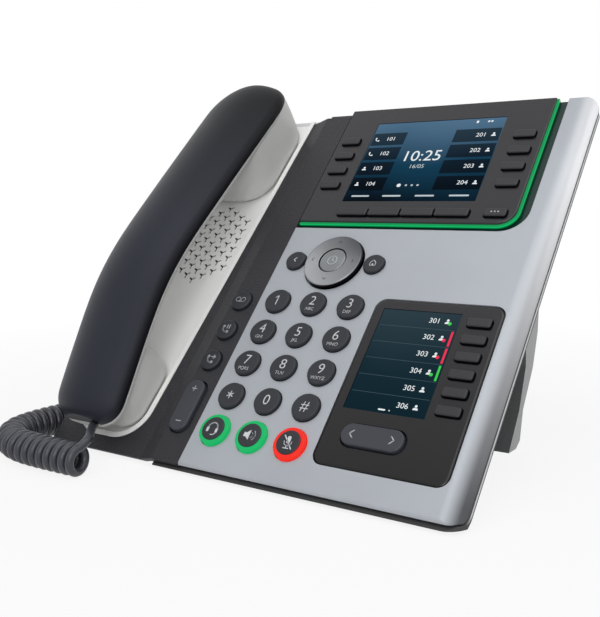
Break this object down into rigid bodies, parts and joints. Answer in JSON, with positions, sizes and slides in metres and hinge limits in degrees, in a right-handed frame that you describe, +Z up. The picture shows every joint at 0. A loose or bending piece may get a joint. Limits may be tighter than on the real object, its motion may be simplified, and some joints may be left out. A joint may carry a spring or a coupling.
{
  "type": "desk ip phone",
  "caption": "Desk telephone with a tilted silver slab, two displays, a keypad, lit ring keys, a corded handset in a pale cradle and a rear stand",
  "frame": {"origin": "middle of the footprint of the phone without its cord, on the desk", "axes": "+X to the right of someone facing the phone, +Y to its back, +Z up"},
  "size_m": [0.2342, 0.187, 0.1803],
  "materials": {
    "dark_housing": "satin dark housing plastic",
    "silver_cover": "satin silver paint",
    "silver_key": "satin silver paint",
    "dark_bezel": "smooth dark bezel plastic",
    "light_guide": "clear light guide lit green",
    "screen_glass": "clear screen over a lit panel",
    "pale_tray": "fine matte off-white plastic",
    "grey_stand": "matte grey plastic",
    "foot_rubber": "soft matte rubber",
    "handset_dark": "satin charcoal plastic",
    "handset_light": "satin light grey plastic",
    "cord_jacket": "satin black jacket",
    "board_laminate": "coated laminate",
    "speaker_frame": "black coated frame",
    "key_plastic": "satin dark slate plastic"
  },
  "bodies": {
    "base": {"rear_housing": "dark_housing", "rubber_feet": "foot_rubber", "front_cover": "silver_cover", "main_bezel": "dark_bezel", "light_bar": "light_guide", "main_display": "screen_glass", "side_bezel": "dark_bezel", "side_display": "screen_glass", "side_deck": "dark_housing", "cradle_tray": "pale_tray", "loudspeaker": "speaker_frame", "circuit_board": "board_laminate", "stand": "grey_stand", "handset_cord": "cord_jacket"},
    "handset": {"handset_back": "handset_dark", "handset_front": "handset_light"},
    "hook_switch": {"hook_switch": "pale_tray"},
    "key_1": {"key_1": "key_plastic"},
    "key_2": {"key_2": "key_plastic"},
    "key_3": {"key_3": "key_plastic"},
    "key_4": {"key_4": "key_plastic"},
    "key_5": {"key_5": "key_plastic"},
    "key_6": {"key_6": "key_plastic"},
    "key_7": {"key_7": "key_plastic"},
    "key_8": {"key_8": "key_plastic"},
    "key_9": {"key_9": "key_plastic"},
    "key_star": {"key_star": "key_plastic"},
    "key_0": {"key_0": "key_plastic"},
    "key_hash": {"key_hash": "key_plastic"},
    "headset_key": {"headset_key": "key_plastic"},
    "speaker_key": {"speaker_key": "key_plastic"},
    "mute_key": {"mute_key": "key_plastic"},
    "back_key": {"back_key": "silver_key"},
    "home_key": {"home_key": "silver_key"},
    "select_key": {"select_key": "silver_key"},
    "line_key_left_1": {"line_key_left_1": "key_plastic"},
    "line_key_left_2": {"line_key_left_2": "key_plastic"},
    "line_key_left_3": {"line_key_left_3": "key_plastic"},
    "line_key_left_4": {"line_key_left_4": "key_plastic"},
    "line_key_right_1": {"line_key_right_1": "key_plastic"},
    "line_key_right_2": {"line_key_right_2": "key_plastic"},
    "line_key_right_3": {"line_key_right_3": "key_plastic"},
    "line_key_right_4": {"line_key_right_4": "key_plastic"},
    "soft_key_1": {"soft_key_1": "key_plastic"},
    "soft_key_2": {"soft_key_2": "key_plastic"},
    "soft_key_3": {"soft_key_3": "key_plastic"},
    "soft_key_4": {"soft_key_4": "key_plastic"},
    "more_key": {"more_key": "key_plastic"},
    "side_key_1": {"side_key_1": "key_plastic"},
    "side_key_2": {"side_key_2": "key_plastic"},
    "side_key_3": {"side_key_3": "key_plastic"},
    "side_key_4": {"side_key_4": "key_plastic"},
    "side_key_5": {"side_key_5": "key_plastic"},
    "side_key_6": {"side_key_6": "key_plastic"},
    "voicemail_key": {"voicemail_key": "key_plastic"},
    "hold_key": {"hold_key": "key_plastic"},
    "transfer_key": {"transfer_key": "key_plastic"},
    "volume_rocker": {"volume_rocker": "key_plastic"},
    "page_rocker": {"page_rocker": "key_plastic"},
    "nav_ring": {"nav_ring": "silver_key"}
  },
  "joints": [
    {"name": "handset_lift", "type": "slide", "parent": "base", "child": "handset", "axis": [0, -0.7416, 0.6708], "range_m": [0, 0.04], "deforming": ["handset_cord"]},
    {"name": "hook_rise", "type": "slide", "parent": "base", "child": "hook_switch", "axis": [0, -0.7416, 0.6708], "range_m": [0, 0.003]},
    {"name": "nav_ring_rock", "type": "hinge", "parent": "base", "child": "nav_ring", "pos_m": [0.0086, 0.00324, 0.08739], "axis": [1, 0, 0], "range_deg": [-2.5, 2.5], "stiffness_Nm_per_rad": 0.06},
    {"name": "volume_rocker_rock", "type": "hinge", "parent": "base", "child": "volume_rocker", "pos_m": [-0.0325, -0.05257, 0.0242], "axis": [1, 0, 0], "range_deg": [-2.5, 2.5], "stiffness_Nm_per_rad": 0.06},
    {"name": "page_rocker_rock", "type": "hinge", "parent": "base", "child": "page_rocker", "pos_m": [0.0623, -0.05271, 0.02405], "axis": [0, 0.6708, 0.7416], "range_deg": [-2.5, 2.5], "stiffness_Nm_per_rad": 0.06},
    {"name": "key_1_press", "type": "slide", "parent": "base", "child": "key_1", "axis": [0, 0.7416, -0.6708], "range_m": [0, 0.001], "stiffness_N_per_m": 300},
    {"name": "key_2_press", "type": "slide", "parent": "base", "child": "key_2", "axis": [0, 0.7416, -0.6708], "range_m": [0, 0.001], "stiffness_N_per_m": 300},
    {"name": "key_3_press", "type": "slide", "parent": "base", "child": "key_3", "axis": [0, 0.7416, -0.6708], "range_m": [0, 0.001], "stiffness_N_per_m": 300},
    {"name": "key_4_press", "type": "slide", "parent": "base", "child": "key_4", "axis": [0, 0.7416, -0.6708], "range_m": [0, 0.001], "stiffness_N_per_m": 300},
    {"name": "key_5_press", "type": "slide", "parent": "base", "child": "key_5", "axis": [0, 0.7416, -0.6708], "range_m": [0, 0.001], "stiffness_N_per_m": 300},
    {"name": "key_6_press", "type": "slide", "parent": "base", "child": "key_6", "axis": [0, 0.7416, -0.6708], "range_m": [0, 0.001], "stiffness_N_per_m": 300},
    {"name": "key_7_press", "type": "slide", "parent": "base", "child": "key_7", "axis": [0, 0.7416, -0.6708], "range_m": [0, 0.001], "stiffness_N_per_m": 300},
    {"name": "key_8_press", "type": "slide", "parent": "base", "child": "key_8", "axis": [0, 0.7416, -0.6708], "range_m": [0, 0.001], "stiffness_N_per_m": 300},
    {"name": "key_9_press", "type": "slide", "parent": "base", "child": "key_9", "axis": [0, 0.7416, -0.6708], "range_m": [0, 0.001], "stiffness_N_per_m": 300},
    {"name": "key_star_press", "type": "slide", "parent": "base", "child": "key_star", "axis": [0, 0.7416, -0.6708], "range_m": [0, 0.001], "stiffness_N_per_m": 300},
    {"name": "key_0_press", "type": "slide", "parent": "base", "child": "key_0", "axis": [0, 0.7416, -0.6708], "range_m": [0, 0.001], "stiffness_N_per_m": 300},
    {"name": "key_hash_press", "type": "slide", "parent": "base", "child": "key_hash", "axis": [0, 0.7416, -0.6708], "range_m": [0, 0.001], "stiffness_N_per_m": 300},
    {"name": "headset_key_press", "type": "slide", "parent": "base", "child": "headset_key", "axis": [0, 0.7416, -0.6708], "range_m": [0, 0.001], "stiffness_N_per_m": 300},
    {"name": "speaker_key_press", "type": "slide", "parent": "base", "child": "speaker_key", "axis": [0, 0.7416, -0.6708], "range_m": [0, 0.001], "stiffness_N_per_m": 300},
    {"name": "mute_key_press", "type": "slide", "parent": "base", "child": "mute_key", "axis": [0, 0.7416, -0.6708], "range_m": [0, 0.001], "stiffness_N_per_m": 300},
    {"name": "back_key_press", "type": "slide", "parent": "base", "child": "back_key", "axis": [0, 0.7416, -0.6708], "range_m": [0, 0.001], "stiffness_N_per_m": 300},
    {"name": "home_key_press", "type": "slide", "parent": "base", "child": "home_key", "axis": [0, 0.7416, -0.6708], "range_m": [0, 0.001], "stiffness_N_per_m": 300},
    {"name": "select_key_press", "type": "slide", "parent": "base", "child": "select_key", "axis": [0, 0.7416, -0.6708], "range_m": [0, 0.001], "stiffness_N_per_m": 300},
    {"name": "line_key_left_1_press", "type": "slide", "parent": "base", "child": "line_key_left_1", "axis": [0, 0.7416, -0.6708], "range_m": [0, 0.001], "stiffness_N_per_m": 300},
    {"name": "line_key_left_2_press", "type": "slide", "parent": "base", "child": "line_key_left_2", "axis": [0, 0.7416, -0.6708], "range_m": [0, 0.001], "stiffness_N_per_m": 300},
    {"name": "line_key_left_3_press", "type": "slide", "parent": "base", "child": "line_key_left_3", "axis": [0, 0.7416, -0.6708], "range_m": [0, 0.001], "stiffness_N_per_m": 300},
    {"name": "line_key_left_4_press", "type": "slide", "parent": "base", "child": "line_key_left_4", "axis": [0, 0.7416, -0.6708], "range_m": [0, 0.001], "stiffness_N_per_m": 300},
    {"name": "line_key_right_1_press", "type": "slide", "parent": "base", "child": "line_key_right_1", "axis": [0, 0.7416, -0.6708], "range_m": [0, 0.001], "stiffness_N_per_m": 300},
    {"name": "line_key_right_2_press", "type": "slide", "parent": "base", "child": "line_key_right_2", "axis": [0, 0.7416, -0.6708], "range_m": [0, 0.001], "stiffness_N_per_m": 300},
    {"name": "line_key_right_3_press", "type": "slide", "parent": "base", "child": "line_key_right_3", "axis": [0, 0.7416, -0.6708], "range_m": [0, 0.001], "stiffness_N_per_m": 300},
    {"name": "line_key_right_4_press", "type": "slide", "parent": "base", "child": "line_key_right_4", "axis": [0, 0.7416, -0.6708], "range_m": [0, 0.001], "stiffness_N_per_m": 300},
    {"name": "soft_key_1_press", "type": "slide", "parent": "base", "child": "soft_key_1", "axis": [0, 0.7416, -0.6708], "range_m": [0, 0.001], "stiffness_N_per_m": 300},
    {"name": "soft_key_2_press", "type": "slide", "parent": "base", "child": "soft_key_2", "axis": [0, 0.7416, -0.6708], "range_m": [0, 0.001], "stiffness_N_per_m": 300},
    {"name": "soft_key_3_press", "type": "slide", "parent": "base", "child": "soft_key_3", "axis": [0, 0.7416, -0.6708], "range_m": [0, 0.001], "stiffness_N_per_m": 300},
    {"name": "soft_key_4_press", "type": "slide", "parent": "base", "child": "soft_key_4", "axis": [0, 0.7416, -0.6708], "range_m": [0, 0.001], "stiffness_N_per_m": 300},
    {"name": "more_key_press", "type": "slide", "parent": "base", "child": "more_key", "axis": [0, 0.7416, -0.6708], "range_m": [0, 0.001], "stiffness_N_per_m": 300},
    {"name": "side_key_1_press", "type": "slide", "parent": "base", "child": "side_key_1", "axis": [0, 0.7416, -0.6708], "range_m": [0, 0.001], "stiffness_N_per_m": 300},
    {"name": "side_key_2_press", "type": "slide", "parent": "base", "child": "side_key_2", "axis": [0, 0.7416, -0.6708], "range_m": [0, 0.001], "stiffness_N_per_m": 300},
    {"name": "side_key_3_press", "type": "slide", "parent": "base", "child": "side_key_3", "axis": [0, 0.7416, -0.6708], "range_m": [0, 0.001], "stiffness_N_per_m": 300},
    {"name": "side_key_4_press", "type": "slide", "parent": "base", "child": "side_key_4", "axis": [0, 0.7416, -0.6708], "range_m": [0, 0.001], "stiffness_N_per_m": 300},
    {"name": "side_key_5_press", "type": "slide", "parent": "base", "child": "side_key_5", "axis": [0, 0.7416, -0.6708], "range_m": [0, 0.001], "stiffness_N_per_m": 300},
    {"name": "side_key_6_press", "type": "slide", "parent": "base", "child": "side_key_6", "axis": [0, 0.7416, -0.6708], "range_m": [0, 0.001], "stiffness_N_per_m": 300},
    {"name": "voicemail_key_press", "type": "slide", "parent": "base", "child": "voicemail_key", "axis": [0, 0.7416, -0.6708], "range_m": [0, 0.001], "stiffness_N_per_m": 300},
    {"name": "hold_key_press", "type": "slide", "parent": "base", "child": "hold_key", "axis": [0, 0.7416, -0.6708], "range_m": [0, 0.001], "stiffness_N_per_m": 300},
    {"name": "transfer_key_press", "type": "slide", "parent": "base", "child": "transfer_key", "axis": [0, 0.7416, -0.6708], "range_m": [0, 0.001], "stiffness_N_per_m": 300}
  ],
  "couplings": [
    {"joint": "hook_rise", "follows": "handset_lift", "ratio": 0.075}
  ]
}
